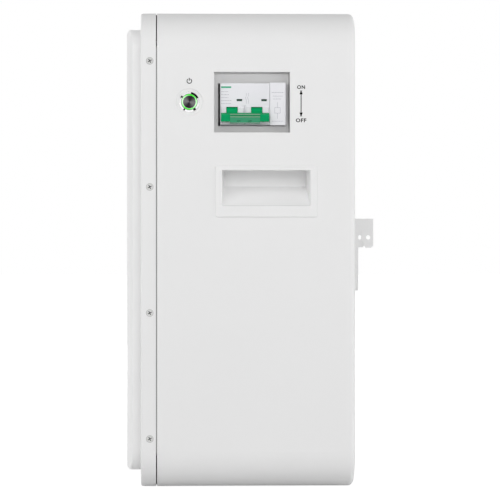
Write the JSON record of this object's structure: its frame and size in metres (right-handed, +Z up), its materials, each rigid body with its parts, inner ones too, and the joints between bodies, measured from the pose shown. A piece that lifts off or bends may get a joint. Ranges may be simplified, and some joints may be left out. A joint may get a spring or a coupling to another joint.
{
  "type": "wall-mount lithium iron phosphate battery",
  "caption": "White wall-mount battery box with rounded corners, raised front panel, recessed side handles, power button, breaker window and rear hook bracket",
  "frame": {"origin": "bottom centre of the whole outline, the plane it stands on", "axes": "+Z up, -Y the front with the raised panel, +Y the wall side with the hook bracket, +X the side with the power button and breaker"},
  "size_m": [0.4444, 0.2812, 0.52],
  "materials": {
    "housing_paint": "matte white powder coat",
    "cover_paint": "matte white powder coat",
    "panel_paint": "white, satin",
    "bracket_paint": "white powder coat",
    "handle_plastic": "fine-textured white",
    "screw_steel": "zinc plated",
    "tray_zinc": "galvanised sheet",
    "pole_plastic": "white breaker moulding",
    "trip_plastic": "white breaker moulding",
    "clip_plastic": "black",
    "lever_green": "green moulding",
    "bar_green": "green moulding",
    "sleeve_green": "frosted green sleeve",
    "flag_colour": "dark green and red halves",
    "bezel_chrome": "polished",
    "light_ring": "lit green diffuser",
    "cap_metal": "dark brushed metal",
    "switch_plastic": "black",
    "red_plastic": "red",
    "stud_brass": "plain",
    "circuit_board": "green solder mask",
    "cell_wrap": "blue film",
    "insulation": "epoxy board",
    "aluminium": "plain",
    "lead_sheath": "black silicone"
  },
  "bodies": {
    "housing": {"main_housing": "housing_paint", "mounting_lips": "housing_paint", "front_cover": "cover_paint", "front_panel": "panel_paint", "hook_bracket": "bracket_paint", "handle_right": "handle_plastic", "handle_left": "handle_plastic", "cover_screws": "screw_steel", "front_panel_screws": "screw_steel", "hook_screws": "screw_steel", "terminal_nuts": "screw_steel", "button_nut": "screw_steel", "window_tray": "tray_zinc", "breaker_bracket": "tray_zinc", "mounting_rail": "tray_zinc", "steel_straps": "tray_zinc", "floor_rails": "tray_zinc", "breaker_pole_1": "pole_plastic", "breaker_pole_2": "pole_plastic", "shunt_trip": "trip_plastic", "button_body": "bezel_chrome", "button_led_ring": "light_ring", "button_switch": "switch_plastic", "negative_bushing": "switch_plastic", "comm_sockets": "switch_plastic", "positive_bushing": "red_plastic", "terminal_studs": "stud_brass", "ground_stud": "stud_brass", "board_spacers": "stud_brass", "comm_board": "circuit_board", "bms_board": "circuit_board", "cell_01": "cell_wrap", "cell_02": "cell_wrap", "cell_03": "cell_wrap", "cell_04": "cell_wrap", "cell_05": "cell_wrap", "cell_06": "cell_wrap", "cell_07": "cell_wrap", "cell_08": "cell_wrap", "cell_09": "cell_wrap", "cell_10": "cell_wrap", "cell_11": "cell_wrap", "cell_12": "cell_wrap", "cell_13": "cell_wrap", "cell_14": "cell_wrap", "cell_15": "cell_wrap", "cell_16": "cell_wrap", "insulation_sheets": "insulation", "busbars": "aluminium", "end_plates": "aluminium", "bms_heat_spreader": "aluminium", "power_leads": "lead_sheath"},
    "toggle": {"toggle_levers": "lever_green", "toggle_tie_bar": "bar_green", "tie_bar_sleeve": "sleeve_green"},
    "flags": {"contact_flags": "flag_colour"},
    "power_button": {"button_cap": "cap_metal"},
    "clip_1": {"rail_clip_1": "clip_plastic"},
    "clip_2": {"rail_clip_2": "clip_plastic"},
    "clip_3": {"rail_clip_3": "clip_plastic"}
  },
  "joints": [
    {"name": "breaker_toggle", "type": "hinge", "parent": "housing", "child": "toggle", "pos_m": [0.19975, -0.0106, 0.4097], "axis": [0, -1, 0], "range_deg": [0, 52]},
    {"name": "contact_flags", "type": "slide", "parent": "housing", "child": "flags", "axis": [0, 0, -1], "range_m": [0, 0.004]},
    {"name": "power_button", "type": "slide", "parent": "housing", "child": "power_button", "axis": [-1, 0, 0], "range_m": [0, 0.0025], "stiffness_N_per_m": 800, "springref_m": -0.0015},
    {"name": "rail_clip_1", "type": "slide", "parent": "housing", "child": "clip_1", "axis": [0, 0, -1], "range_m": [0, 0.004], "stiffness_N_per_m": 500, "springref_m": -0.002},
    {"name": "rail_clip_2", "type": "slide", "parent": "housing", "child": "clip_2", "axis": [0, 0, -1], "range_m": [0, 0.004], "stiffness_N_per_m": 500, "springref_m": -0.002},
    {"name": "rail_clip_3", "type": "slide", "parent": "housing", "child": "clip_3", "axis": [0, 0, -1], "range_m": [0, 0.004], "stiffness_N_per_m": 500, "springref_m": -0.002}
  ],
  "couplings": [
    {"joint": "contact_flags", "follows": "breaker_toggle", "m_per_rad": 0.0044074}
  ]
}
